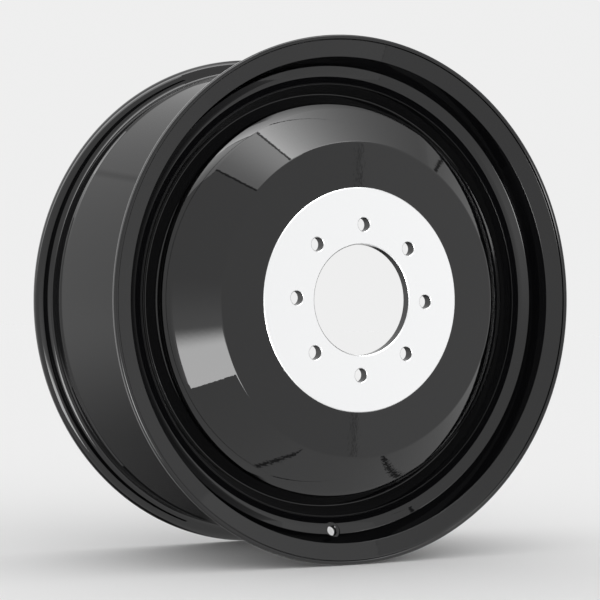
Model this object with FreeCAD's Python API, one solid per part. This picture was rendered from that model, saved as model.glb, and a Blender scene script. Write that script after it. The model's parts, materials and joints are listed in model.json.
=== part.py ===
import FreeCAD, Part

import math
import os

# One-piece aluminium wheel for a dual-wheel truck axle.
# The whole wheel is one body of revolution with eight stud holes and a slanted valve hole.
# Frame: millimetres, +Y along the spin axis towards the vehicle, +Z up.
# The origin is on the spin axis, in the face that bolts against the hub.

# Rim, measured as rims are specified
BEAD_DIAMETER = 563.6
RIM_WIDTH = 209.55
OFFSET = 113.6
FLANGE_HEIGHT = 17.5
FLANGE_WIDTH = 13.4
FLANGE_RADIUS = 9.5
HEEL_RADIUS = 6.5

# Bead seats and the humps that hold the tyre on them
SEAT_TAPER = 5.0
SEAT_WIDTH = 19.5
HUMP_HEIGHT = 1.5
HUMP_WIDTH = 7.0

# Drop centre, the long tapered barrel and the corner behind the rear bead seat
WELL_DEPTH = 26.3
WELL_WIDTH = 40.0
WELL_RADIUS = 9.0
DROP_WALL = 7.8
BARREL_WALL = 7.05
BARREL_RADIUS = 60.0
REAR_SEAT_WALL = 7.6
REAR_CORNER_WIDTH = 5.0
REAR_CORNER_RADIUS = 8.0

# Turned front of the rim: lip bead, dished flange face, tapered wall and sloping band
LIP_WIDTH = 5.2
LIP_DEPTH = 3.6
FACE_WIDTH = 18.3
FACE_DISH = 22.8
SEAT_WALL = 13.2
LEDGE_DEPTH = 36.6
BAND_TILT = 20.4

# Dome that carries the hub plate out past the rim, curved over at its foot, and the groove round it
CONE_FOOT_DEPTH = 38.2
CONE_TOP_DIAMETER = 356.0
CONE_TOP_RADIUS = 4.0
CONE_EDGE_WIDTH = 3.7
CONE_EDGE_SLOPE = 52.0
CONE_EDGE_RADIUS = 70.0
CONE_WALL = 18.0
CONE_ROOT_RADIUS = 20.0
CONE_INNER_RADIUS = 15.0
GROOVE_WIDTH = 21.65
GROOVE_DEPTH = 12.0
GROOVE_DRAFT = 5.0
GROOVE_RADIUS = 9.2

# Hub plate, its machined pads, the centre bore and the stud holes
PLATE_THICKNESS = 12.7
PAD_DIAMETER = 251.8
PAD_HEIGHT = 0.8
HUB_PAD_DIAMETER = 240.0
HUB_PAD_HEIGHT = 1.0
BORE_DIAMETER = 125.1
BORE_CHAMFER = 1.1
STUD_COUNT = 8
STUD_CIRCLE = 170.0
STUD_HOLE = 15.9
STUD_CHAMFER = 0.6

# Valve hole, square to the sloping band, in a spot face that bites into the wall above it
VALVE_ANGLE = 269.0
VALVE_HOLE = 11.5
VALVE_FROM_LEDGE = 5.2
VALVE_CHAMFER = 0.7
SPOT_DIAMETER = 19.0
SPOT_DEPTH = 1.2

# How far a round corner's straight steps may stray from its arc, and points that count as one
ARC_SAG = 0.8
JOINED = 1e-6

# How far the cutters run past the faces that they cut
OVERSHOOT = 1.0

bead_r = BEAD_DIAMETER / 2
rim_r = bead_r + FLANGE_HEIGHT
lip_in_r = rim_r - LIP_WIDTH
well_r = bead_r - WELL_DEPTH
well_in_r = well_r - BARREL_WALL
seat_slope = math.tan(math.radians(SEAT_TAPER))
hump_end_r = bead_r - (SEAT_WIDTH + HUMP_WIDTH) * seat_slope
wall_y = {-1: OFFSET - RIM_WIDTH / 2, 1: OFFSET + RIM_WIDTH / 2}
lip_y = {side: wall_y[side] + side * FLANGE_WIDTH for side in wall_y}


def at_radius(line, r):
    """Height y of a section line, given as two (r, y) points, at radius r."""
    (r0, y0), (r1, y1) = line
    return y0 + (y1 - y0) * (r - r0) / (r1 - r0)


def at_height(line, y):
    """Radius of a section line at height y."""
    (r0, y0), (r1, y1) = line
    return r0 + (r1 - r0) * (y - y0) / (y1 - y0)


def shifted(line, distance):
    """The same line moved square to itself, to its left as it runs."""
    (r0, y0), (r1, y1) = line
    length = math.hypot(r1 - r0, y1 - y0)
    dr = -(y1 - y0) / length * distance
    dy = (r1 - r0) / length * distance
    return (r0 + dr, y0 + dy), (r1 + dr, y1 + dy)


def band_line():
    """Sloping band, from its outer edge under the front bead seat in to the well."""
    ledge_r = bead_r - SEAT_WALL
    ledge_y = lip_y[-1] + LEDGE_DEPTH
    slope = math.tan(math.radians(BAND_TILT))
    return (ledge_r, ledge_y), (well_in_r, ledge_y + (ledge_r - well_in_r) * slope)


def cone_foot():
    """Where the dome's outer face ends, at the groove."""
    return well_in_r - GROOVE_WIDTH, lip_y[-1] + CONE_FOOT_DEPTH


def cone_line():
    """Straight part of the dome's outer face, from the hub plate's edge to the steeper foot."""
    top = (CONE_TOP_DIAMETER / 2, PAD_HEIGHT - PLATE_THICKNESS)
    foot_r, foot_y = cone_foot()
    edge_slope = math.tan(math.radians(CONE_EDGE_SLOPE))
    return top, (foot_r - CONE_EDGE_WIDTH, foot_y - CONE_EDGE_WIDTH * edge_slope)


def tyre_side(side):
    """Flange, heel, bead seat and hump on one side, from the crest towards the well."""
    wall = wall_y[side]
    seat_end = wall - side * SEAT_WIDTH
    seat_end_r = bead_r - SEAT_WIDTH * seat_slope
    return [
        (rim_r, lip_y[side], LIP_WIDTH / 2),
        (rim_r, wall, FLANGE_RADIUS),
        (bead_r, wall, HEEL_RADIUS),
        (seat_end_r, seat_end, 0),
        (seat_end_r + HUMP_HEIGHT, seat_end - side * HUMP_WIDTH / 2, 0),
    ]


def flange_face(side):
    """Dished face of one flange and the inner side of its lip bead, outwards."""
    foot_y = lip_y[side] - side * LIP_DEPTH
    face_y = foot_y - side * FACE_WIDTH * math.tan(math.radians(FACE_DISH))
    return [
        (lip_in_r - FACE_WIDTH, face_y, 0),
        (lip_in_r, foot_y, 0),
        (lip_in_r, lip_y[side], LIP_WIDTH / 2),
    ]


def plate_front():
    """Front of the bore, the machined pad, the painted ring and the dome."""
    bore_r = BORE_DIAMETER / 2
    pad_r = PAD_DIAMETER / 2
    top, edge = cone_line()
    return [
        (bore_r, BORE_CHAMFER - PLATE_THICKNESS, 0),
        (bore_r + BORE_CHAMFER, -PLATE_THICKNESS, 0),
        (pad_r, -PLATE_THICKNESS, 0),
        (pad_r + PAD_HEIGHT, PAD_HEIGHT - PLATE_THICKNESS, 0),
        (*top, CONE_TOP_RADIUS),
        (*edge, CONE_EDGE_RADIUS),
        (*cone_foot(), 0),
    ]


def groove_and_front():
    """Groove round the dome's foot, the band, the tapered wall and the flange face."""
    foot_r, foot_y = cone_foot()
    ledge, band_end = band_line()
    floor_y = band_end[1] + GROOVE_DEPTH
    draft = math.tan(math.radians(GROOVE_DRAFT))
    return [
        (foot_r + (floor_y - foot_y) * draft, floor_y, GROOVE_RADIUS),
        (well_in_r - GROOVE_DEPTH * draft, floor_y, GROOVE_RADIUS),
        (*band_end, 0),
        (*ledge, 0),
        *flange_face(-1),
    ]


def barrel_line():
    """Outer face of the long taper, from the end of the well to the rear hump."""
    drop = shifted(band_line(), -DROP_WALL)
    well_end = at_radius(drop, well_r) + WELL_WIDTH
    rear_end = wall_y[1] - SEAT_WIDTH - HUMP_WIDTH
    return (well_r, well_end), (hump_end_r, rear_end)


def tyre_surface():
    """Everything that the tyre and its air touch, from the front lip to the rear one."""
    drop = shifted(band_line(), -DROP_WALL)
    start, end = barrel_line()
    return [
        *tyre_side(-1),
        (hump_end_r, at_radius(drop, hump_end_r), 0),
        (well_r, at_radius(drop, well_r), WELL_RADIUS),
        (*start, BARREL_RADIUS),
        (*end, 0),
        *reversed(tyre_side(1)),
    ]


def barrel_inside():
    """Back of the rear flange and the inner face of the barrel, in to the well."""
    inner = shifted(barrel_line(), BARREL_WALL)
    face, foot, crest = flange_face(1)
    corner_r = face[0] + REAR_CORNER_WIDTH
    corner_y = at_radius((face[:2], foot[:2]), corner_r)
    seat_in_r = bead_r - REAR_SEAT_WALL
    seat_end = wall_y[1] - SEAT_WIDTH - HUMP_WIDTH
    return [
        crest,
        foot,
        (corner_r, corner_y, REAR_CORNER_RADIUS / 2),
        (seat_in_r, wall_y[1] - REAR_CORNER_WIDTH, REAR_CORNER_RADIUS),
        (at_height(inner, seat_end), seat_end, BARREL_RADIUS),
        (well_in_r, at_radius(inner, well_in_r), BARREL_RADIUS),
    ]


def dome_inside():
    """Back of the dome and the hub plate, in to the rear of the bore."""
    back = shifted(cone_line(), CONE_WALL)
    bore_r = BORE_DIAMETER / 2
    hub_pad_r = HUB_PAD_DIAMETER / 2
    return [
        (well_in_r, at_radius(back, well_in_r), CONE_ROOT_RADIUS),
        (at_height(back, -HUB_PAD_HEIGHT), -HUB_PAD_HEIGHT, CONE_INNER_RADIUS),
        (hub_pad_r + HUB_PAD_HEIGHT, -HUB_PAD_HEIGHT, 0),
        (hub_pad_r, 0, 0),
        (bore_r + BORE_CHAMFER, 0, 0),
        (bore_r, -BORE_CHAMFER, 0),
    ]


def arc_points(start, corner, end):
    """Straight steps along the arc that leaves one side at start and meets the next at end."""
    half = (start - corner).getAngle(end - corner) / 2
    radius = (start - corner).Length * math.tan(half)
    inwards = ((start + end) / 2 - corner).normalize()
    centre = corner + inwards * (radius / math.sin(half))
    turn = math.pi - 2 * half
    steps = math.ceil(turn / (2 * math.acos(1 - min(ARC_SAG / radius, 1))))
    points = []
    for step in range(steps + 1):
        done = turn * step / steps
        spoke = (start - centre) * math.sin(turn - done) + (end - centre) * math.sin(done)
        points.append(centre + spoke * (1 / math.sin(turn)))
    return points


def rounded(corners):
    """Points of a closed section of (r, y, radius) corners, with each corner's tangent arc."""
    spots = [FreeCAD.Vector(r, y, 0) for r, y, _ in corners]
    count = len(spots)
    sides = [spots[(i + 1) % count] - spots[i] for i in range(count)]
    turns = [sides[i - 1].getAngle(sides[i]) for i in range(count)]
    trims = [corners[i][2] * math.tan(turns[i] / 2) for i in range(count)]
    # two arcs share a side that is too short for both in proportion
    wanted = [max(trims[i] + trims[(i + 1) % count], sides[i].Length) for i in range(count)]
    shares = [side.Length / length for side, length in zip(sides, wanted)]

    points = []
    for i, spot in enumerate(spots):
        trim = trims[i] * min(shares[i - 1], shares[i])
        start = spot - sides[i - 1] * (trim / sides[i - 1].Length)
        end = spot + sides[i] * (trim / sides[i].Length)
        points += arc_points(start, spot, end) if trim else [spot]
    return points


def turned(corners):
    """Solid of revolution about Y from a closed section of (r, y, radius) corners."""
    points = rounded(corners)
    apart = [point for i, point in enumerate(points) if not point.isEqual(points[i - 1], JOINED)]
    face = Part.Face(Part.makePolygon([*apart, apart[0]]))
    return face.revolve(FreeCAD.Vector(0, 0, 0), FreeCAD.Vector(0, 1, 0), 360)


def stud_drill():
    """Cutter along Y for a stud hole, chamfered where its nut seats."""
    front = -PLATE_THICKNESS
    hole_r = STUD_HOLE / 2
    return turned([
        (0, front - OVERSHOOT, 0),
        (hole_r + STUD_CHAMFER + OVERSHOOT, front - OVERSHOOT, 0),
        (hole_r, front + STUD_CHAMFER, 0),
        (hole_r, OVERSHOOT, 0),
        (0, OVERSHOOT, 0),
    ])


def stud_holes():
    """One cutter for each stud, evenly spaced round the stud circle."""
    cutters = []
    for index in range(STUD_COUNT):
        cutter = stud_drill()
        cutter.translate(FreeCAD.Vector(STUD_CIRCLE / 2, 0, 0))
        cutter.rotate(FreeCAD.Vector(0, 0, 0), FreeCAD.Vector(0, -1, 0), 360 * index / STUD_COUNT)
        cutters.append(cutter)
    return cutters


def valve_hole():
    """Cutter for the valve hole and its spot face, square to the sloping band."""
    ledge, band_end = band_line()
    length = math.hypot(band_end[0] - ledge[0], band_end[1] - ledge[1])
    share = VALVE_FROM_LEDGE / length
    r = ledge[0] + (band_end[0] - ledge[0]) * share
    y = ledge[1] + (band_end[1] - ledge[1]) * share
    hole_r = VALVE_HOLE / 2
    spot_r = SPOT_DIAMETER / 2
    cutter = turned([
        (0, -LEDGE_DEPTH, 0),
        (spot_r, -LEDGE_DEPTH, 0),
        (spot_r, SPOT_DEPTH, 0),
        (hole_r + VALVE_CHAMFER, SPOT_DEPTH, 0),
        (hole_r, SPOT_DEPTH + VALVE_CHAMFER, 0),
        (hole_r, DROP_WALL + LEDGE_DEPTH / 2, 0),
        (0, DROP_WALL + LEDGE_DEPTH / 2, 0),
    ])
    cutter.rotate(FreeCAD.Vector(0, 0, 0), FreeCAD.Vector(0, 0, 1), -BAND_TILT)
    cutter.translate(FreeCAD.Vector(r, y, 0))
    cutter.rotate(FreeCAD.Vector(0, 0, 0), FreeCAD.Vector(0, -1, 0), VALVE_ANGLE)
    return cutter


def make_wheel():
    section = plate_front() + groove_and_front() + tyre_surface() + barrel_inside() + dome_inside()
    return turned(section).cut([*stud_holes(), valve_hole()])


os.makedirs("parts", exist_ok=True)
wheel = make_wheel()
wheel.exportStep("parts/wheel.step")
print("wheel: solids", len(wheel.Solids), "valid", wheel.isValid())
print("volume cm3", round(wheel.Volume / 1000), "box", wheel.BoundBox)
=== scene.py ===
# %% [markdown]
# # A truck wheel for a dual rear axle
#
# The real wheel is one piece of aluminium, turned on a lathe, drilled and painted gloss black. Only
# the pad round the centre bore is left bare, because it clamps against another wheel. The packed
# model already holds that form at its real size. Its round corners are straight steps, though, and
# gloss black paint shows every step, so here the same wheel is turned again, finely.

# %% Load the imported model
import json
import math

import bmesh
import bpy
from mathutils import Matrix, Vector


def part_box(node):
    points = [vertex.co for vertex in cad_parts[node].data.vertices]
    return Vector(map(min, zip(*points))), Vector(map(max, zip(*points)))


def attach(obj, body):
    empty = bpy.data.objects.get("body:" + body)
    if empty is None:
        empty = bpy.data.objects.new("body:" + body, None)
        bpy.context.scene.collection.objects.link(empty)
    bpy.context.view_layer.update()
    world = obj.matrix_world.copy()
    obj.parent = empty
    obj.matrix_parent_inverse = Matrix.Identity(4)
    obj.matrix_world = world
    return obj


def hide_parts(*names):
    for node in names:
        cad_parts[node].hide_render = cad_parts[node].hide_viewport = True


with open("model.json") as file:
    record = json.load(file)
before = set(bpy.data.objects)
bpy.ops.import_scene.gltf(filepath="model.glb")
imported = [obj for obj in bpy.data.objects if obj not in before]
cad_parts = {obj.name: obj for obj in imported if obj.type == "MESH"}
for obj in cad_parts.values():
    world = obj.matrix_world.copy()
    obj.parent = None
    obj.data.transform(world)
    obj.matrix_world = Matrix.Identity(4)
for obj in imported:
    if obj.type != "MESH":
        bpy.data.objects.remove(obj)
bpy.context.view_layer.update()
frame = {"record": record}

# %% [markdown]
# ## Where the camera stands
#
# The photograph was taken from the left of the spin axis, level with the hub and about two metres
# off. The place, the turn and the focal length were found by fitting the wheel's circles to the
# ellipses that they make in the picture. A camera object keeps its place and turn in one matrix,
# whose columns are its right, its up, its back and its position.

# %% Camera
CAMERA_PLACE = Vector((-1.003505, -1.620645, -0.030207))
CAMERA_LOOK = Vector((0.497463, 0.867354, 0.015079))
CAMERA_UP = Vector((-0.025743, -0.002615, 0.999665))
FOCAL_PIXELS = 1682.9
PHOTO_PIXELS = 600
SENSOR_MM = 36.0

camera_data = bpy.data.cameras.new("photo_camera")
camera_data.sensor_width = SENSOR_MM
camera_data.lens = SENSOR_MM * FOCAL_PIXELS / PHOTO_PIXELS
camera = bpy.data.objects.new("photo_camera", camera_data)
bpy.context.scene.collection.objects.link(camera)
right = CAMERA_LOOK.cross(CAMERA_UP).normalized()
up = right.cross(CAMERA_LOOK).normalized()
camera_turn = Matrix((right, up, -CAMERA_LOOK)).transposed().to_4x4()
camera.matrix_world = Matrix.Translation(CAMERA_PLACE) @ camera_turn
bpy.context.scene.camera = camera
bpy.context.scene.view_settings.view_transform = "Standard"
print("focal length", round(camera_data.lens, 2), "mm on a", SENSOR_MM, "mm sensor")

# %% [markdown]
# ## Nodes without the tangle
#
# Every tree below is built by the same small helper: it adds one node, sets its settings first,
# because they can change which sockets it has, and then fills or links its sockets by name.

# %% One node at a time
def add(tree, kind, settings=None, sockets=None):
    """Add a node to a tree. A socket's value is a number, a name, a node's output or a Wire."""
    node = tree.nodes.new(kind)
    for name, value in (settings or {}).items():
        setattr(node, name, value)
    for name, value in (sockets or {}).items():
        value = getattr(value, "socket", value)
        if isinstance(value, bpy.types.NodeSocket):
            tree.links.new(value, node.inputs[name])
        else:
            node.inputs[name].default_value = value
    return node


# %% [markdown]
# ## Maths that reads as maths
#
# A pattern is mostly arithmetic on coordinates. One class wraps an output socket and takes Python's
# operators, so that a line of Python adds the Math nodes that it describes.

# %% Wires that can be added, multiplied and compared
class Wire:
    """An output socket that carries a number."""

    def __init__(self, tree, socket):
        self.tree = tree
        self.socket = socket

    def math(self, operation, *others):
        node = self.tree.nodes.new("ShaderNodeMath")
        node.operation = operation
        for socket, value in zip(node.inputs, (self, *others)):
            if isinstance(value, Wire):
                self.tree.links.new(value.socket, socket)
            else:
                socket.default_value = value
        return Wire(self.tree, node.outputs[0])

    def __add__(self, other):
        return self.math("ADD", other)

    def __mul__(self, other):
        return self.math("MULTIPLY", other)

    def __sub__(self, other):
        return self.math("SUBTRACT", other)

    def __rsub__(self, other):
        return (self * -1) + other

    def __truediv__(self, other):
        return self.math("DIVIDE", other)

    def __pow__(self, other):
        return self.math("POWER", other)

    def __lt__(self, other):
        return self.math("LESS_THAN", other)

    def __gt__(self, other):
        return self.math("GREATER_THAN", other)

    def between(self, low, high):
        """0 at low, 1 at high, smooth in between and held outside."""
        node = add(self.tree, "ShaderNodeMapRange", {"interpolation_type": "SMOOTHSTEP"},
                   {"Value": self, "From Min": low, "From Max": high})
        return Wire(self.tree, node.outputs["Result"])


def about_axis(tree, position):
    """Split a position into its distance from the spin axis and its height along it."""
    place = add(tree, "ShaderNodeSeparateXYZ", None, {"Vector": position})
    x, y, z = (Wire(tree, place.outputs[axis]) for axis in "XYZ")
    return (x * x + z * z) ** 0.5, y


# %% [markdown]
# ## The stage
#
# The wheel stands on a pale floor in a white studio. Gloss black paint has hardly any colour of its
# own: it shows the room at about a twenty-fifth of its brightness. So the room is what gives the
# paint its look, and it is drawn once in the world shader, by direction.

# %% Floor
FLOOR_HALF = 80.0
SQUARE = ((-1, -1), (1, -1), (1, 1), (-1, 1))
floor_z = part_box("wheel")[0].z
floor_mesh = bpy.data.meshes.new("floor")
corners = [(x * FLOOR_HALF, y * FLOOR_HALF, floor_z) for x, y in SQUARE]
floor_mesh.from_pydata(corners, [], [(0, 1, 2, 3)])
floor = bpy.data.objects.new("floor", floor_mesh)
bpy.context.scene.collection.objects.link(floor)
floor.visible_glossy = False
print("floor at", round(floor_z, 4), "m")

# %% Floor paint
FLOOR_SHADE = 0.86
FLOOR_COLOUR = (FLOOR_SHADE, FLOOR_SHADE, FLOOR_SHADE, 1)
FLOOR_ROUGHNESS = 0.9
floor_paint = bpy.data.materials.new("pale_floor")
floor_paint.use_nodes = True
floor_shader = floor_paint.node_tree.nodes["Principled BSDF"]
floor_shader.inputs["Base Color"].default_value = FLOOR_COLOUR
floor_shader.inputs["Roughness"].default_value = FLOOR_ROUGHNESS
floor_shader.inputs["Specular IOR Level"].default_value = 0.0
floor_mesh.materials.append(floor_paint)
print("floor shade", FLOOR_SHADE)

# %% [markdown]
# ## The room that the paint shows
#
# The studio is a box of white panels round the wheel: a wall in front with a wide lamp over it, a
# ceiling, a wall at the back and one on each side. Thin dark seams part them, and in the dome they
# show as thin dark lines. Each direction is split into how far it points to the camera's side
# (front), to its right (side) and up. The angle from the front, over the ceiling and on to the
# back, then tells the panel.

# %% Directions in the room
world = bpy.data.worlds.new("studio")
world.use_nodes = True
bpy.context.scene.world = world
room = world.node_tree
room.nodes.clear()
direction = add(room, "ShaderNodeTexCoord").outputs["Generated"]
to_camera = -Vector((CAMERA_LOOK.x, CAMERA_LOOK.y, 0)).normalized()
to_side = Vector((-to_camera.y, to_camera.x, 0))


def part_along(axis):
    """How far the direction points along an axis."""
    node = add(room, "ShaderNodeVectorMath", {"operation": "DOT_PRODUCT"})
    room.links.new(direction, node.inputs[0])
    node.inputs[1].default_value = axis
    return Wire(room, node.outputs["Value"])


front_part = part_along(to_camera)
side_part = part_along(to_side)
up_part = part_along((0, 0, 1))
ring_angle = up_part.math("ARCTAN2", front_part)
print("front of the room", [round(value, 3) for value in to_camera],
      "side", [round(value, 3) for value in to_side])

# %% [markdown]
# Each panel's brightness was read from the dome, as the brightness of its reflection divided by
# the share of light that clear paint reflects. Most panels are plain white. The ceiling is
# brightest beside the lamp and fades towards the back, as the back wall does. The left wall fades
# to black below, and a small lamp stands low in front, on the left.

# %% Helpers for panels
def inside(value, low, high):
    """1 where a value lies between two limits."""
    return (value > low) * (value < high)


def level(value, start, end, low, high):
    """A smooth step from one brightness to another."""
    return value.between(start, end) * (high - low) + low


def mixed(share, first, second):
    """The first brightness where share is 0, the second where it is 1."""
    return (1 - share) * first + share * second


# %% Where the panels are
LAMP_FRONT = math.radians(56.3)
LAMP_BACK = math.radians(75.0)
LAMP_RIGHT = 0.9
CEILING_END = math.radians(140.0)
CEILING_RIGHT = (0.63, 0.57)
RIGHT_WALL = (0.62, 0.86)
LEFT_WALL = (0.05, -0.05)
FRONT_PANEL_END = 1.85
LEAST_FRONT = 0.02
across = side_part / front_part.math("MAXIMUM", LEAST_FRONT)
right_wall = side_part.between(*RIGHT_WALL)
left_wall = side_part.between(*LEFT_WALL) * (front_part < 0)
lamp = inside(ring_angle, LAMP_FRONT, LAMP_BACK) * (across < LAMP_RIGHT)
ceiling = inside(ring_angle, LAMP_BACK, CEILING_END) * side_part.between(*CEILING_RIGHT)
ceiling = ceiling * (1 - left_wall)
print("lamp between", [round(math.degrees(a), 1) for a in (LAMP_FRONT, LAMP_BACK)], "degrees up")

# %% How bright they are
FRONT_LIGHT = 0.95
RIGHT_FRONT_LIGHT = 1.08
LAMP_LIGHTS = (2.2, 4.5)
CEILING_LIGHT = 3.45
CEILING_FADE = 3.43
CEILING_LEAST = 0.44
BACK_LIGHT = 0.87
BACK_FADE = 0.6
BACK_LEAST = 0.46
RIGHT_LIGHT = 0.90
back_light = (front_part * BACK_FADE + BACK_LIGHT).math("MAXIMUM", BACK_LEAST)
front_light = (across > FRONT_PANEL_END) * (RIGHT_FRONT_LIGHT - FRONT_LIGHT) + FRONT_LIGHT
front_light = front_light.math("MINIMUM", (up_part > 0) + back_light)
lamp_light = level(ring_angle, LAMP_FRONT, LAMP_BACK, *LAMP_LIGHTS)
ceiling_light = (front_part * CEILING_FADE).math("EXPONENT") * CEILING_LIGHT
ceiling_light = ceiling_light.math("MAXIMUM", CEILING_LEAST)
print("brightness: front", FRONT_LIGHT, "lamp", LAMP_LIGHTS, "back", BACK_LIGHT)

# %% The left wall, with a faint smudge low on it
LEFT_LIGHT_RISE = (-0.90, -0.10)
LEFT_FADE_SIDE = (-0.12, -0.60)
LEFT_FADE_UP = (-0.45, -0.05)
LEFT_LEAST = 0.05
SMUDGE_SLOPE = 0.79
SMUDGE_HALF = 0.035
SMUDGE_ENDS = (-0.80, -0.66)
SMUDGE_SHADE = 0.2
left_fade = side_part.between(*LEFT_FADE_SIDE).math("MAXIMUM", up_part.between(*LEFT_FADE_UP))
left_light = up_part.between(*LEFT_LIGHT_RISE) * left_fade + LEFT_LEAST
smudge = (side_part * SMUDGE_SLOPE + up_part).math("ABSOLUTE").between(SMUDGE_HALF, 0.0)
left_light = left_light * (1 - smudge * inside(side_part, *SMUDGE_ENDS) * SMUDGE_SHADE)
print("left wall from", LEFT_LEAST, "to", 1 + LEFT_LEAST)

# %% The panels together
behind = mixed(left_wall, mixed(right_wall, back_light, RIGHT_LIGHT), left_light)
room_light = mixed(front_part < 0, mixed(lamp, front_light, lamp_light), behind)
room_light = mixed(ceiling, room_light, ceiling_light)
print("nodes of the panels:", len(room.nodes))

# %% The low lamp on the left, and the glow round it
LOW_LAMP_FOOT = math.radians(-40.1)
LOW_LAMP_TOP = (math.radians(-14), math.radians(-25))
LOW_LAMP_LEFT = (-0.575, -0.535)
LOW_LAMP_RIGHT = 0.1
LOW_LAMP_LIGHT = 8.0
GLOW_TOP = (math.radians(12), math.radians(-22))
GLOW_LEFT = (-0.75, -0.50)
GLOW_RIGHT = (0.5, 0.0)
GLOW_LIGHT = 0.6
over_foot = (ring_angle > LOW_LAMP_FOOT) * (front_part > 0)
low_lamp = ring_angle.between(*LOW_LAMP_TOP) * across.between(*LOW_LAMP_LEFT)
low_lamp = low_lamp * (across < LOW_LAMP_RIGHT) * over_foot
glow = ring_angle.between(*GLOW_TOP) * across.between(*GLOW_LEFT) * across.between(*GLOW_RIGHT)
room_light = room_light + low_lamp * LOW_LAMP_LIGHT + glow * over_foot * GLOW_LIGHT
print("low lamp", LOW_LAMP_LIGHT, "and its glow", GLOW_LIGHT)

# %% [markdown]
# The lamp's two long seams lie at fixed angles. The seam at the right end of the front panel is
# upright. Each short seam is straight, so its directions are square to one axis, which is given as
# front, side and up, with the seam's ends in front and in up.

# %% Seams between the panels
SEAM_HALF = math.radians(0.4)
SHORT_SEAM_HALF = SEAM_HALF * 0.3
SIDE_SEAM_HALF = 0.005
SEAM_BLUR = 0.4
SEAM_SHADE = 0.85
SIDE_SEAM_SHADE = 0.35
LAMP_SEAM_LEFT = -0.25
LAMP_SEAM_RIGHT = (0.62, 0.58)
SHORT_SEAMS = {
    "upper right": ((0.3234, 0.8106, -0.4882), (-0.72, -0.64), (0.43, 0.52)),
    "lower left": ((0.6828, 0.6912, 0.2367), (0.13, 0.31), (-1.1, -0.90)),
    "lower right": ((0.4511, 0.8242, 0.3423), (-0.60, -0.39), (-0.76, -0.56)),
}


def seam(distance, half):
    """1 on a seam, 0 beside it."""
    return distance.math("ABSOLUTE").between(half * (1 + SEAM_BLUR), half * (1 - SEAM_BLUR))


seams = seam(ring_angle - LAMP_FRONT, SEAM_HALF) + seam(ring_angle - LAMP_BACK, SEAM_HALF)
seams = seams * side_part.between(*LAMP_SEAM_RIGHT) * (side_part > LAMP_SEAM_LEFT)
seams = seams * (1 - left_wall)
for axis, front_ends, up_ends in SHORT_SEAMS.values():
    off_seam = front_part * axis[0] + side_part * axis[1] + up_part * axis[2]
    ends = inside(front_part, *front_ends) * inside(up_part, *up_ends)
    seams = seams + seam(off_seam, SHORT_SEAM_HALF) * ends
side_seam = seam(across - FRONT_PANEL_END, SIDE_SEAM_HALF) * (front_part > 0)
room_light = room_light * (1 - seams.math("MINIMUM", 1) * SEAM_SHADE)
room_light = room_light * (1 - side_seam * SIDE_SEAM_SHADE)
print("short seams:", ", ".join(SHORT_SEAMS))

# %% [markdown]
# The camera, mirror rays and rays through glass all see the same pale backdrop. Mirror rays see it
# with the panels drawn on it. Everything else is lit by plain even light, so that colours come out
# as they are written.

# %% World
PLAIN_LIGHT = 1.0
BACKDROP = FLOOR_SHADE * PLAIN_LIGHT
ray = add(room, "ShaderNodeLightPath")
camera_ray = Wire(room, ray.outputs["Is Camera Ray"])
glossy_ray = Wire(room, ray.outputs["Is Glossy Ray"])
clear_ray = Wire(room, ray.outputs["Is Transmission Ray"])
shows_backdrop = (camera_ray + glossy_ray + clear_ray) > 0.5
backdrop = (room_light / BACKDROP - 1) * glossy_ray * BACKDROP + BACKDROP
strength = shows_backdrop * (backdrop - PLAIN_LIGHT) + PLAIN_LIGHT
light = add(room, "ShaderNodeBackground", None, {"Color": (1, 1, 1, 1), "Strength": strength})
add(room, "ShaderNodeOutputWorld", None, {"Surface": light.outputs[0]})
print("world nodes:", len(room.nodes))

# %% [markdown]
# ## Sizes of the wheel
#
# A rim is specified by a few sizes that every tyre maker agrees on: the diameter at the bead seat,
# the width between the flanges and the height of a flange. The rest is wall thickness, tilt and
# corner radii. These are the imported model's own sizes, in metres, with four finer forms: the groove
# round the dome is a V, the band is dished, a small bead runs along the band's inner edge, and the
# valve hole's spot face is deeper. Radii run out from the spin axis, and heights run along it, from
# the face that bolts to the hub towards the vehicle.

# %% Rim sizes
BEAD_R = 0.2818
RIM_WIDTH = 0.20955
OFFSET = 0.1136
FLANGE_HEIGHT = 0.0175
FLANGE_WIDTH = 0.0134
FLANGE_RADIUS = 0.0095
HEEL_RADIUS = 0.0065
SEAT_SLOPE = math.tan(math.radians(5.0))
SEAT_WIDTH = 0.0195
HUMP_HEIGHT = 0.0015
HUMP_WIDTH = 0.007
HUMP_RADIUS = 0.004
print("rim:", BEAD_R * 2, "m at the bead seat,", RIM_WIDTH, "m wide")

# %% Well, barrel and rear corner
WELL_DEPTH = 0.0263
WELL_WIDTH = 0.040
WELL_RADIUS = 0.009
DROP_WALL = 0.0078
BARREL_WALL = 0.00705
BARREL_RADIUS = 0.060
REAR_SEAT_WALL = 0.0076
REAR_CORNER_WIDTH = 0.005
REAR_CORNER_RADIUS = 0.008
print("barrel wall", BARREL_WALL, "m, well", WELL_DEPTH, "m deep")

# %% Turned front and dome
LIP_WIDTH = 0.0052
LIP_DEPTH = 0.0036
FACE_WIDTH = 0.0183
FACE_SLOPE = math.tan(math.radians(22.8))
SEAT_WALL = 0.0132
LEDGE_DEPTH = 0.0366
LEDGE_RADIUS = 0.002
BAND_TILT = math.radians(20.4)
BAND_DISH = 0.0028
BAND_DISH_FROM_LEDGE = 0.0125
BAND_RADIUS = 0.030
EDGE_BEAD_HEIGHT = 0.0007
EDGE_BEAD_WIDTH = 0.0010
EDGE_BEAD_RADIUS = 0.0004
EDGE_RADIUS = 0.0009
CONE_FOOT_DEPTH = 0.0382
CONE_TOP_R = 0.178
CONE_TOP_RADIUS = 0.004
CONE_EDGE_WIDTH = 0.0037
CONE_EDGE_SLOPE = math.tan(math.radians(52.0))
CONE_EDGE_RADIUS = 0.070
CONE_WALL = 0.018
CONE_ROOT_RADIUS = 0.020
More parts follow.
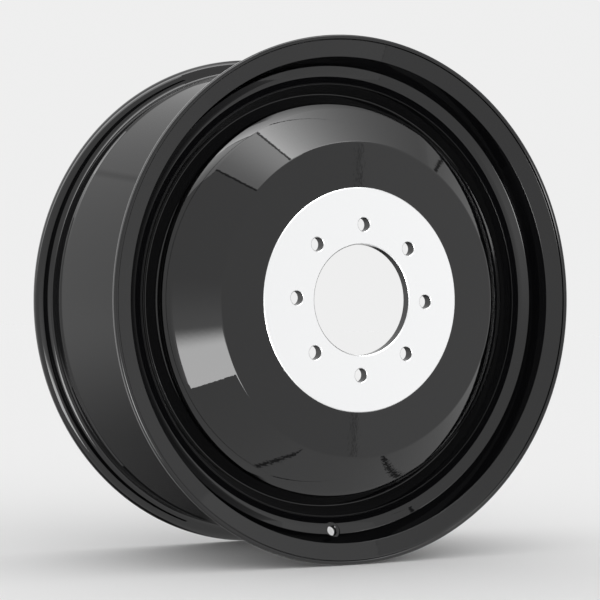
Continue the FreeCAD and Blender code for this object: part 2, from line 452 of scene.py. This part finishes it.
CONE_INNER_RADIUS = 0.015
GROOVE_WIDTH = 0.02165
GROOVE_DEPTH = 0.015
GROOVE_STEP = 0.0099
GROOVE_DRAFT = math.tan(math.radians(5.0))
GROOVE_SLOPE = math.tan(math.radians(34.5))
GROOVE_RADIUS = 0.0012
print("groove", GROOVE_WIDTH, "m wide and", GROOVE_DEPTH, "m deep")

# %% Hub plate and holes
PLATE_THICKNESS = 0.0127
PAD_R = 0.1259
PAD_HEIGHT = 0.0008
BARE_SHARE_OF_CHAMFER = 0.9
HUB_PAD_R = 0.120
HUB_PAD_HEIGHT = 0.001
BORE_CHAMFER = 0.0011
STUD_CHAMFER = 0.0006
VALVE_ANGLE = math.radians(269.0)
VALVE_FROM_LEDGE = 0.0052
VALVE_CHAMFER = 0.0007
SPOT_R = 0.0095
SPOT_DEPTH = 0.0023
mounts = {mount["name"]: mount for mount in frame["record"]["mounts"]}
BORE_R = mounts["centre_bore"]["dims"]["r_mm"] / 1000
STUD_HOLE_R = mounts["stud_holes"]["dims"]["hole_r_mm"] / 1000
STUD_CIRCLE_R = mounts["stud_holes"]["dims"]["pcd_mm"] / 2000
STUD_COUNT = mounts["stud_holes"]["dims"]["count"]
VALVE_HOLE_R = mounts["valve_hole"]["dims"]["r_mm"] / 1000
print("bore", BORE_R, "studs", STUD_COUNT, "on a radius of", STUD_CIRCLE_R,
      "valve hole", VALVE_HOLE_R)

# %% [markdown]
# ## The section of the wheel
#
# Anything turned on a lathe is one outline swept round the axis. The outline is easiest to think
# of as straight walls that meet in corners, with a radius for each corner, so a corner is written
# as radius from the axis, height along it, and how round it is.

# %% Lines of the section
rim_r = BEAD_R + FLANGE_HEIGHT
lip_in_r = rim_r - LIP_WIDTH
well_r = BEAD_R - WELL_DEPTH
well_in_r = well_r - BARREL_WALL
hump_end_r = BEAD_R - (SEAT_WIDTH + HUMP_WIDTH) * SEAT_SLOPE
wall_y = {-1: OFFSET - RIM_WIDTH / 2, 1: OFFSET + RIM_WIDTH / 2}
lip_y = {side: wall_y[side] + side * FLANGE_WIDTH for side in wall_y}


def at_radius(line, r):
    """Height of a line of the section where it passes radius r."""
    (r0, y0), (r1, y1) = line
    return y0 + (y1 - y0) * (r - r0) / (r1 - r0)


def at_height(line, y):
    """Radius of a line of the section where it passes height y."""
    (r0, y0), (r1, y1) = line
    return r0 + (r1 - r0) * (y - y0) / (y1 - y0)


def shifted(line, distance):
    """The same line moved square to itself, to its left as it runs."""
    (r0, y0), (r1, y1) = line
    length = math.hypot(r1 - r0, y1 - y0)
    dr = -(y1 - y0) / length * distance
    dy = (r1 - r0) / length * distance
    return (r0 + dr, y0 + dy), (r1 + dr, y1 + dy)


# %% Walls that other walls follow
ledge = (BEAD_R - SEAT_WALL, lip_y[-1] + LEDGE_DEPTH)
band_end = (well_in_r, ledge[1] + (ledge[0] - well_in_r) * math.tan(BAND_TILT))
dish_y = ledge[1] + BAND_DISH_FROM_LEDGE * math.tan(BAND_TILT) + BAND_DISH
band_middle = (ledge[0] - BAND_DISH_FROM_LEDGE, dish_y)
cone_top = (CONE_TOP_R, PAD_HEIGHT - PLATE_THICKNESS)
cone_foot = (well_in_r - GROOVE_WIDTH, lip_y[-1] + CONE_FOOT_DEPTH)
cone_edge = (cone_foot[0] - CONE_EDGE_WIDTH, cone_foot[1] - CONE_EDGE_WIDTH * CONE_EDGE_SLOPE)
drop = shifted((ledge, band_end), -DROP_WALL)
seat_ends = {side: wall_y[side] - side * (SEAT_WIDTH + HUMP_WIDTH) for side in wall_y}
well_end = (well_r, at_radius(drop, well_r) + WELL_WIDTH)
barrel = (well_end, (hump_end_r, seat_ends[1]))
barrel_back = shifted(barrel, BARREL_WALL)
cone_back = shifted((cone_top, cone_edge), CONE_WALL)
for label, spot in (("dome from", cone_top), ("over", cone_edge), ("to", cone_foot),
                    ("band from", ledge), ("to", band_end)):
    print(label, [round(value, 5) for value in spot])

# %% [markdown]
# Both edges of the rim are alike, so one function draws the side that the tyre touches and another
# the face that looks away from it. A rounded bead runs along the crest of each flange.

# %% Flange, bead seat and hump
def tyre_side(side):
    """From the crest of one flange to the inner end of its hump."""
    hump_y = wall_y[side] - side * (SEAT_WIDTH + HUMP_WIDTH / 2)
    seat_end_r = BEAD_R - SEAT_WIDTH * SEAT_SLOPE
    return [
        (rim_r, lip_y[side], LIP_WIDTH / 2),
        (rim_r, wall_y[side], FLANGE_RADIUS),
        (BEAD_R, wall_y[side], HEEL_RADIUS),
        (seat_end_r, wall_y[side] - side * SEAT_WIDTH, HUMP_RADIUS),
        (seat_end_r + HUMP_HEIGHT, hump_y, HUMP_RADIUS / 2),
    ]


def flange_face(side):
    """From the foot of the dished face out to the crest."""
    foot_y = lip_y[side] - side * LIP_DEPTH
    return [
        (lip_in_r - FACE_WIDTH, foot_y - side * FACE_WIDTH * FACE_SLOPE, EDGE_RADIUS),
        (lip_in_r, foot_y, EDGE_RADIUS),
        (lip_in_r, lip_y[side], LIP_WIDTH / 2),
    ]


# %% [markdown]
# The front runs from the bore out over the pad and the painted ring, down the dome into the groove
# round its foot, and out over the bead, the dished band and the tapered wall to the flange. The
# groove drops steeply beside the dome, slopes to its deepest corner and rises to the band.

# %% Front of the wheel
front = [
    (BORE_R, BORE_CHAMFER - PLATE_THICKNESS, 0),
    (BORE_R + BORE_CHAMFER, -PLATE_THICKNESS, 0),
    (PAD_R, -PLATE_THICKNESS, 0),
    (PAD_R + PAD_HEIGHT, PAD_HEIGHT - PLATE_THICKNESS, 0),
    (*cone_top, CONE_TOP_RADIUS),
    (*cone_edge, CONE_EDGE_RADIUS),
    (*cone_foot, EDGE_RADIUS),
    (cone_foot[0] + GROOVE_STEP * GROOVE_DRAFT, cone_foot[1] + GROOVE_STEP, GROOVE_RADIUS),
    (well_in_r - GROOVE_DEPTH * GROOVE_SLOPE, band_end[1] + GROOVE_DEPTH, GROOVE_RADIUS),
    (well_in_r, band_end[1] - EDGE_BEAD_HEIGHT, EDGE_BEAD_RADIUS),
    (well_in_r + EDGE_BEAD_WIDTH, band_end[1], EDGE_BEAD_RADIUS),
    (*band_middle, BAND_RADIUS),
    (*ledge, LEDGE_RADIUS),
    *flange_face(-1),
]
tyre_surface = [
    *tyre_side(-1),
    (hump_end_r, at_radius(drop, hump_end_r), HUMP_RADIUS),
    (well_r, at_radius(drop, well_r), WELL_RADIUS),
    (*well_end, BARREL_RADIUS),
    (hump_end_r, seat_ends[1], HUMP_RADIUS),
    *reversed(tyre_side(1)),
]

# %% Back of the wheel
rear_foot, rear_edge, rear_crest = flange_face(1)
corner_r = rear_foot[0] + REAR_CORNER_WIDTH
back = [
    rear_crest,
    rear_edge,
    (corner_r, at_radius((rear_foot[:2], rear_edge[:2]), corner_r), REAR_CORNER_RADIUS / 2),
    (BEAD_R - REAR_SEAT_WALL, wall_y[1] - REAR_CORNER_WIDTH, REAR_CORNER_RADIUS),
    (at_height(barrel_back, seat_ends[1]), seat_ends[1], BARREL_RADIUS),
    (well_in_r, at_radius(barrel_back, well_in_r), BARREL_RADIUS),
    (well_in_r, at_radius(cone_back, well_in_r), CONE_ROOT_RADIUS),
    (at_height(cone_back, -HUB_PAD_HEIGHT), -HUB_PAD_HEIGHT, CONE_INNER_RADIUS),
    (HUB_PAD_R + HUB_PAD_HEIGHT, -HUB_PAD_HEIGHT, 0),
    (HUB_PAD_R, 0, 0),
    (BORE_R + BORE_CHAMFER, 0, 0),
    (BORE_R, -BORE_CHAMFER, 0),
]
section = front + tyre_surface + back
print(len(section), "corners in the section")

# %% [markdown]
# ## Rounding the corners
#
# A corner becomes an arc that leaves one wall and meets the next without a kink. Smooth shading
# blends the light between points of the outline, so each wall also gets a guard point just inside
# both of its ends: the blend then stays in that sliver, and the wall between keeps a true
# reflection. Arcs that would overlap on a short wall share it in proportion.

# %% Arcs and guard points
ARC_STEP = math.radians(6.0)
GUARD = 0.0002
MERGE = 0.000002


def arc_points(start, corner, end):
    """Points of the arc that rounds one corner, from start on one wall to end on the next."""
    half = (start - corner).angle(end - corner) / 2
    radius = (start - corner).length * math.tan(half)
    middle = (start + end) / 2
    centre = corner + (middle - corner).normalized() * (radius / math.sin(half))
    turn = math.pi - 2 * half
    steps = max(2, math.ceil(turn / ARC_STEP))
    points = []
    for step in range(steps + 1):
        done = turn * step / steps
        spoke = (start - centre) * math.sin(turn - done) + (end - centre) * math.sin(done)
        points.append(centre + spoke / math.sin(turn))
    return points


def outline(corners):
    """The points of a closed section of (radius, height, roundness) corners."""
    spots = [Vector((r, y, 0)) for r, y, _ in corners]
    count = len(spots)
    walls = [spots[(i + 1) % count] - spots[i] for i in range(count)]
    lengths = [wall.length for wall in walls]
    turns = [walls[i - 1].angle(walls[i]) for i in range(count)]
    wanted = [corners[i][2] * math.tan(turns[i] / 2) for i in range(count)]
    needs = [wanted[i] + wanted[(i + 1) % count] for i in range(count)]
    shares = [min(1, length / need) if need else 1 for length, need in zip(lengths, needs)]
    trims = [wanted[i] * min(shares[i - 1], shares[i]) for i in range(count)]
    straight = [lengths[i] - trims[i] - trims[(i + 1) % count] for i in range(count)]
    points = []
    for i, spot in enumerate(spots):
        before, after = walls[i - 1].normalized(), walls[i].normalized()
        start, end = spot - before * trims[i], spot + after * trims[i]
        if straight[i - 1] > GUARD * 4:
            points.append(start - before * GUARD)
        points += arc_points(start, spot, end) if trims[i] else [spot]
        if straight[i] > GUARD * 4:
            points.append(end + after * GUARD)
    return [point for i, point in enumerate(points) if (point - points[i - 1]).length > MERGE]


def section_object(name, points, closed):
    """Edges in the section's own plane, radius along X and height along Y, as a ring or a chain."""
    links = [(i, i + 1) for i in range(len(points) - 1)]
    if closed:
        links.append((len(points) - 1, 0))
    mesh = bpy.data.meshes.new(name)
    mesh.from_pydata(points, links, [])
    drawn = bpy.data.objects.new(name, mesh)
    bpy.context.scene.collection.objects.link(drawn)
    print(name, "has", len(points), "points")
    return drawn


# %% [markdown]
# ## Turning
#
# Geometry Nodes sweep the outline round the axis. Curve to Mesh carries one curve along another,
# so the outline rides on a circle one metre in radius after it has been moved one metre back,
# which leaves every point at its own radius. The circle lies flat, and the last node tips the
# result up so that the spin axis is Y. One group does this for the wheel and for both cutters.

# %% The Turn group
def new_tree(name, inputs):
    """An empty geometry tree with named inputs, its input node and the socket of its output."""
    tree = bpy.data.node_groups.new(name, "GeometryNodeTree")
    for label, kind, value in inputs:
        socket = tree.interface.new_socket(label, in_out="INPUT", socket_type=kind)
        if value is not None:
            socket.default_value = value
    tree.interface.new_socket("Geometry", in_out="OUTPUT", socket_type="NodeSocketGeometry")
    return tree, tree.nodes.new("NodeGroupInput")


RAIL_RADIUS = 1.0
turn, turn_in = new_tree("Turn", [
    ("Section", "NodeSocketGeometry", None),
    ("Segments", "NodeSocketInt", 64),
])
moved = add(turn, "GeometryNodeTransform", None,
            {"Geometry": turn_in.outputs["Section"], "Translation": (-RAIL_RADIUS, 0, 0)})
profile = add(turn, "GeometryNodeMeshToCurve", None, {"Mesh": moved.outputs["Geometry"]})
rail = add(turn, "GeometryNodeCurvePrimitiveCircle", None,
           {"Resolution": turn_in.outputs["Segments"], "Radius": RAIL_RADIUS})
swept = add(turn, "GeometryNodeCurveToMesh", None,
            {"Curve": rail.outputs["Curve"], "Profile Curve": profile.outputs["Curve"]})
tipped = add(turn, "GeometryNodeTransform", None,
             {"Geometry": swept.outputs["Mesh"], "Rotation": (math.pi / 2, 0, 0)})
welded = add(turn, "GeometryNodeMergeByDistance", None,
             {"Geometry": tipped.outputs["Geometry"], "Distance": MERGE})
add(turn, "NodeGroupOutput", None, {"Geometry": welded.outputs["Geometry"]})
print("turning takes", len(turn.nodes), "nodes")

# %% [markdown]
# ## Cutters for the holes
#
# A drill is turned too. The stud drill is wider at its foot, which leaves a small chamfer round
# each hole. The valve hole starts in a round spot face, square to the sloping band, and the wide
# shank of its cutter bites into the tapered wall above, as the real spot-facing tool does.

# %% Sections of the drills
CLEAR = 0.001
stud_drill = section_object("stud_drill", [
    (0, -PLATE_THICKNESS - CLEAR, 0),
    (STUD_HOLE_R + STUD_CHAMFER + CLEAR, -PLATE_THICKNESS - CLEAR, 0),
    (STUD_HOLE_R, STUD_CHAMFER - PLATE_THICKNESS, 0),
    (STUD_HOLE_R, CLEAR, 0),
    (0, CLEAR, 0),
], closed=False)
valve_drill = section_object("valve_drill", [
    (0, -LEDGE_DEPTH, 0),
    (SPOT_R, -LEDGE_DEPTH, 0),
    (SPOT_R, SPOT_DEPTH, 0),
    (VALVE_HOLE_R + VALVE_CHAMFER, SPOT_DEPTH, 0),
    (VALVE_HOLE_R, SPOT_DEPTH + VALVE_CHAMFER, 0),
    (VALVE_HOLE_R, DROP_WALL + LEDGE_DEPTH / 2, 0),
    (0, DROP_WALL + LEDGE_DEPTH / 2, 0),
], closed=False)

# %% Where the valve drill goes in
along = (Vector((*band_end, 0)) - Vector((*ledge, 0))).normalized() * VALVE_FROM_LEDGE
valve_spot = Matrix.Translation((ledge[0] + along.x, ledge[1] + along.y, 0))
round_wheel = Matrix.Rotation(-VALVE_ANGLE, 4, "Y")
valve_drill.matrix_world = round_wheel @ valve_spot @ Matrix.Rotation(-BAND_TILT, 4, "Z")
valve_place = valve_drill.matrix_world.translation
print("valve drill enters at", [round(value, 4) for value in valve_place])

# %% [markdown]
# ## The wheel's tree
#
# One tree turns the wheel, sets a stud drill on each point of the stud circle, and takes the
# drills away from the wheel. The faces that the last cut of the lathe leaves bare are picked by
# where they are: in the pad's plane or its chamfers, and no further out than the pad's edge.

# %% Tree: turn, drill, and hand out the two finishes
drilled, wheel_in = new_tree("Turned wheel", [
    ("Section", "NodeSocketGeometry", None),
    ("Segments", "NodeSocketInt", 216),
    ("Stud Drill", "NodeSocketObject", None),
    ("Stud Count", "NodeSocketInt", 8),
    ("Stud Circle Radius", "NodeSocketFloat", 0.085),
    ("Valve Drill", "NodeSocketObject", None),
    ("Bare Depth", "NodeSocketFloat", -0.0116),
    ("Bare Radius", "NodeSocketFloat", 0.1264),
    ("Paint", "NodeSocketMaterial", None),
    ("Bare Metal", "NodeSocketMaterial", None),
])


def turned(section_socket, segments):
    """A Turn group in the wheel's tree."""
    return add(drilled, "GeometryNodeGroup", {"node_tree": turn},
               {"Section": section_socket, "Segments": segments}).outputs["Geometry"]


DRILL_SEGMENTS = 48
body = turned(wheel_in.outputs["Section"], wheel_in.outputs["Segments"])
stud_outline = add(drilled, "GeometryNodeObjectInfo", None,
                   {"Object": wheel_in.outputs["Stud Drill"]})
valve_outline = add(drilled, "GeometryNodeObjectInfo", None,
                    {"Object": wheel_in.outputs["Valve Drill"]})
circle = add(drilled, "GeometryNodeCurvePrimitiveCircle", None,
             {"Resolution": wheel_in.outputs["Stud Count"],
              "Radius": wheel_in.outputs["Stud Circle Radius"]})
upright = add(drilled, "GeometryNodeTransform", None,
              {"Geometry": circle.outputs["Curve"], "Rotation": (math.pi / 2, 0, 0)})
studs = add(drilled, "GeometryNodeInstanceOnPoints", None,
            {"Points": upright.outputs["Geometry"],
             "Instance": turned(stud_outline.outputs["Geometry"], DRILL_SEGMENTS)})
real_studs = add(drilled, "GeometryNodeRealizeInstances", None,
                 {"Geometry": studs.outputs["Instances"]})
valve = add(drilled, "GeometryNodeTransform", {"mode": "MATRIX"},
            {"Geometry": turned(valve_outline.outputs["Geometry"], DRILL_SEGMENTS),
             "Transform": valve_outline.outputs["Transform"]})

# %% Cut the holes
cut = add(drilled, "GeometryNodeMeshBoolean", {"operation": "DIFFERENCE", "solver": "MANIFOLD"},
          {"Mesh 1": body})
for cutter in (valve.outputs["Geometry"], real_studs.outputs["Geometry"]):
    drilled.links.new(cutter, cut.inputs["Mesh 2"])
print("cutters:", len(cut.inputs["Mesh 2"].links))

# %% Shade it smooth, sharp at machined edges, and hand out the finishes
SHARP_ANGLE = math.radians(28)
edge_angle = add(drilled, "GeometryNodeInputMeshEdgeAngle")
sharp = add(drilled, "FunctionNodeCompare", {"data_type": "FLOAT", "operation": "GREATER_THAN"},
            {"A": edge_angle.outputs["Unsigned Angle"], "B": SHARP_ANGLE})
smooth = add(drilled, "GeometryNodeSetShadeSmooth", {"domain": "FACE"},
             {"Geometry": cut.outputs["Mesh"], "Shade Smooth": True})
edged = add(drilled, "GeometryNodeSetShadeSmooth", {"domain": "EDGE"},
            {"Geometry": smooth.outputs["Geometry"], "Selection": sharp.outputs["Result"],
             "Shade Smooth": False})
position = add(drilled, "GeometryNodeInputPosition").outputs["Position"]
face_r, face_y = about_axis(drilled, position)
bare = (face_y < Wire(drilled, wheel_in.outputs["Bare Depth"])) * (
    face_r < Wire(drilled, wheel_in.outputs["Bare Radius"]))
real = add(drilled, "GeometryNodeRealizeInstances", None, {"Geometry": edged.outputs["Geometry"]})
painted = add(drilled, "GeometryNodeSetMaterial", None,
              {"Geometry": real.outputs["Geometry"], "Material": wheel_in.outputs["Paint"]})
finished = add(drilled, "GeometryNodeSetMaterial", None,
               {"Geometry": painted.outputs["Geometry"], "Selection": bare,
                "Material": wheel_in.outputs["Bare Metal"]})
add(drilled, "NodeGroupOutput", None, {"Geometry": finished.outputs["Geometry"]})
print("the wheel's tree has", len(drilled.nodes), "nodes")

# %% [markdown]
# ## Gloss black paint
#
# Sprayed paint is never quite flat. It dries with a faint ripple, a few millimetres from crest to
# crest and thousandths of a millimetre high, that lets the edges of reflections waver. The colour
# underneath is nearly black, so that all the light comes from the clear surface.

# %% Paint
PAINT_COLOUR = (0.004, 0.004, 0.0045, 1)
PAINT_ROUGHNESS = 0.012
PAINT_ROUGHNESS_RANGE = 0.008
PATCHES_PER_METRE = 14.0
RIPPLE_PER_METRE = 260.0
RIPPLE_HEIGHT = 0.000008
CLEAR_COAT_IOR = 1.5


def new_material(name):
    """A material, its tree, its main shader and a wire of object coordinates."""
    material = bpy.data.materials.new(name)
    material.use_nodes = True
    tree = material.node_tree
    where = add(tree, "ShaderNodeTexCoord").outputs["Object"]
    return material, tree, tree.nodes["Principled BSDF"], where


paint, tree, shader, where = new_material("gloss_black_paint")
ripple = add(tree, "ShaderNodeTexNoise", None,
             {"Vector": where, "Scale": RIPPLE_PER_METRE, "Detail": 1.0})
bump = add(tree, "ShaderNodeBump", None,
           {"Height": ripple.outputs["Fac"], "Strength": 1.0, "Distance": RIPPLE_HEIGHT})
tree.links.new(bump.outputs["Normal"], shader.inputs["Normal"])
patches = add(tree, "ShaderNodeTexNoise", None,
              {"Vector": where, "Scale": PATCHES_PER_METRE, "Detail": 2.0})
roughness = Wire(tree, patches.outputs["Fac"]) * PAINT_ROUGHNESS_RANGE
roughness = roughness + (PAINT_ROUGHNESS - PAINT_ROUGHNESS_RANGE / 2)
tree.links.new(roughness.socket, shader.inputs["Roughness"])
shader.inputs["Base Color"].default_value = PAINT_COLOUR
shader.inputs["IOR"].default_value = CLEAR_COAT_IOR
print("paint nodes:", len(tree.nodes))

# %% [markdown]
# ## Bare turned pad
#
# The pad is faced off on the lathe after painting. The tool leaves fine rings, too close together
# to count from where the camera stands, that make the metal satin rather than mirror-like and
# shift its brightness a little from one band of rings to the next.

# %% Bare metal
METAL_COLOUR = (0.955, 0.96, 0.965, 1)
DULLER_COLOUR = (0.91, 0.915, 0.92, 1)
METAL_ROUGHNESS = 0.34
METAL_ROUGHNESS_RANGE = 0.1
RINGS_PER_METRE = 1500.0
RING_HEIGHT = 0.00002
metal, tree, shader, where = new_material("turned_aluminium")
ring_r, _ = about_axis(tree, where)
rings = add(tree, "ShaderNodeTexNoise", {"noise_dimensions": "1D"},
            {"W": ring_r, "Scale": RINGS_PER_METRE, "Detail": 3.0})
ring_mark = Wire(tree, rings.outputs["Fac"])
bump = add(tree, "ShaderNodeBump", None,
           {"Height": ring_mark, "Strength": 1.0, "Distance": RING_HEIGHT})
tree.links.new(bump.outputs["Normal"], shader.inputs["Normal"])
roughness = ring_mark * METAL_ROUGHNESS_RANGE + (METAL_ROUGHNESS - METAL_ROUGHNESS_RANGE / 2)
tree.links.new(roughness.socket, shader.inputs["Roughness"])
shade = add(tree, "ShaderNodeMix", {"data_type": "RGBA"},
            {"Factor": ring_mark, "A": DULLER_COLOUR, "B": METAL_COLOUR})
tree.links.new(shade.outputs["Result"], shader.inputs["Base Color"])
shader.inputs["Metallic"].default_value = 1.0
print("metal nodes:", len(tree.nodes))

# %% [markdown]
# ## Making the wheel
#
# The outline object carries the tree as a modifier. Its inputs are set by the identifiers of the
# sockets, and once the result has been copied into a plain mesh, the outlines are not needed.

# %% Turn an outline
WHEEL_SEGMENTS = 216
identifiers = {item.name: item.identifier
               for item in drilled.interface.items_tree if item.in_out == "INPUT"}
settings = {
    "Segments": WHEEL_SEGMENTS,
    "Stud Drill": stud_drill,
    "Stud Count": STUD_COUNT,
    "Stud Circle Radius": STUD_CIRCLE_R,
    "Valve Drill": valve_drill,
    "Bare Depth": BORE_CHAMFER - PLATE_THICKNESS,
    "Bare Radius": PAD_R + PAD_HEIGHT * BARE_SHARE_OF_CHAMFER,
    "Paint": paint,
    "Bare Metal": metal,
}


def turned_mesh(name, points):
    """A plain mesh of a drilled wheel with this outline, in an object of its own."""
    ring = section_object(name + "_outline", points, closed=True)
    modifier = ring.modifiers.new("turned wheel", "NODES")
    modifier.node_group = drilled
    for label, value in settings.items():
        modifier[identifiers[label]] = value
    depsgraph = bpy.context.evaluated_depsgraph_get()
    mesh = bpy.data.meshes.new_from_object(ring.evaluated_get(depsgraph), depsgraph=depsgraph)
    mesh.name = name
    bpy.data.objects.remove(ring)
    made = bpy.data.objects.new(name, mesh)
    bpy.context.scene.collection.objects.link(made)
    return made


wheel_outline = outline(section)
turned_wheel = turned_mesh("turned_wheel", wheel_outline)
wheel_mesh = turned_wheel.data

# %% [markdown]
# ## What the wheel mirrors of itself
#
# In the photograph the dome mirrors the room even where the front of the rim should stand in the
# way. So mirror rays don't see the wheel itself. They see a stand-in. In place of the rim's front it
# has a shelf, whose edge lies where the dome's picture of the rim ends. It is a hair smaller than
# the wheel, so that no mirror ray hits it where it starts.

# %% Stand-in for mirror rays
MIRROR_CUT_R = 0.2495
MIRROR_RIM = Vector((0.250, 0.0363, 0))
MIRROR_EDGE = Vector((0.280, 0.044, 0))
SHELF_THICKNESS = Vector((0, 0.002, 0))
MIRROR_INSET = 0.0003


def only_in_mirrors(made):
    """Sink a stand-in below the wheel's own skin and hide it from all but mirror rays."""
    normals = [vertex.normal.copy() for vertex in made.data.vertices]
    for vertex, normal in zip(made.data.vertices, normals):
        vertex.co -= normal * MIRROR_INSET
    for kind in ("camera", "diffuse", "transmission", "volume_scatter", "shadow"):
        setattr(made, "visible_" + kind, False)


def first_point(start, test):
    """The number of the first outline point, from start on, that passes a test."""
    return next(i for i in range(start, len(wheel_outline)) if test(wheel_outline[i]))


front_points = [i for i, point in enumerate(wheel_outline) if point.y < OFFSET]
crest = max(front_points, key=lambda i: wheel_outline[i].x)
cut_in = first_point(0, lambda point: point.x > MIRROR_CUT_R)
cut_out = first_point(crest, lambda point: point.x < well_r + MERGE * 10)
shelf = [MIRROR_RIM, MIRROR_EDGE, MIRROR_EDGE + SHELF_THICKNESS]
double_outline = wheel_outline[:cut_in] + shelf + wheel_outline[cut_out:]
mirror_double = turned_mesh("mirror_double", double_outline)
turned_wheel.visible_glossy = False
only_in_mirrors(mirror_double)
for helper in (stud_drill, valve_drill):
    bpy.data.objects.remove(helper)

# %% [markdown]
# Two surfaces still have to meet the missing front: the rear flange mirrors the tyre side of the
# front one, and the tapered wall mirrors the outer part of the band. Both look black there. Two
# dark sheets, seen only by mirror rays, paint that dark reflection in. The inner part of the band's
# sheet is a little less dense, so its painted reflection is a little less dark, and both
# sheets are clear from behind, where the dome's mirror rays pass.

# %% Dark sheets: painted dark reflections
SHEET_SEGMENTS = 160
FULLY_DARK_R = (0.258, 0.262)
INNER_SHARE = 0.8


def spun_sheet(name, points):
    """A thin sheet of painted dark reflection swept round the spin axis, facing to the right of its
    outline's run.
    """
    turns = [2 * math.pi * k / SHEET_SEGMENTS for k in range(SHEET_SEGMENTS)]
    spots = [(point.x * math.cos(a), point.y, point.x * math.sin(a))
             for point in points for a in turns]
    faces = []
    for i in range(len(points) - 1):
        for k in range(SHEET_SEGMENTS):
            after = (k + 1) % SHEET_SEGMENTS
            near, far = i * SHEET_SEGMENTS, (i + 1) * SHEET_SEGMENTS
            faces.append((near + k, far + k, far + after, near + after))
    mesh = bpy.data.meshes.new(name)
    mesh.from_pydata(spots, [], faces)
    mesh.materials.append(dark_reflection_paint)
    made = bpy.data.objects.new(name, mesh)
    bpy.context.scene.collection.objects.link(made)
    only_in_mirrors(made)


# Painted dark reflection: black where mirror rays meet the sheet from the front, clear from behind
dark_reflection_paint = bpy.data.materials.new("painted_dark_reflection")
dark_reflection_paint.use_nodes = True
tree = dark_reflection_paint.node_tree
tree.nodes.clear()
black = add(tree, "ShaderNodeBsdfDiffuse", None, {"Color": (0, 0, 0, 1)})
clear = add(tree, "ShaderNodeBsdfTransparent")
from_behind = Wire(tree, add(tree, "ShaderNodeNewGeometry").outputs["Backfacing"])
sheet_r, _ = about_axis(tree, add(tree, "ShaderNodeTexCoord").outputs["Object"])
share = sheet_r.between(*FULLY_DARK_R) * (1 - INNER_SHARE) + INNER_SHARE
sheet_shader = add(tree, "ShaderNodeMixShader", None, {"Fac": 1 - share * (1 - from_behind)})
tree.links.new(black.outputs[0], sheet_shader.inputs[1])
tree.links.new(clear.outputs[0], sheet_shader.inputs[2])
add(tree, "ShaderNodeOutputMaterial", None, {"Surface": sheet_shader.outputs[0]})
# Sheets that paint the dark reflection of the missing front flange and the outer band
spun_sheet("front_flange_double", wheel_outline[crest:cut_out + 1])
above = Vector((0, -2 * MIRROR_INSET, 0))
spun_sheet("band_double", [MIRROR_RIM + above, MIRROR_EDGE + above])
print("sheets run from point", crest, "to", cut_out, "of the outline and over the shelf")

# %% Count it and measure its volume
check = bmesh.new()
check.from_mesh(wheel_mesh)
volume = check.calc_volume(signed=True)
open_edges = sum(not edge.is_manifold for edge in check.edges)
triangles = sum(len(face.verts) - 2 for face in check.faces)
check.free()
print("volume", round(volume * 1e6), "cm3, open edges", open_edges, "triangles", triangles)

# %% Put it in the frame
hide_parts("wheel")
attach(turned_wheel, "root")
print(turned_wheel.name, "stands for the packed wheel")
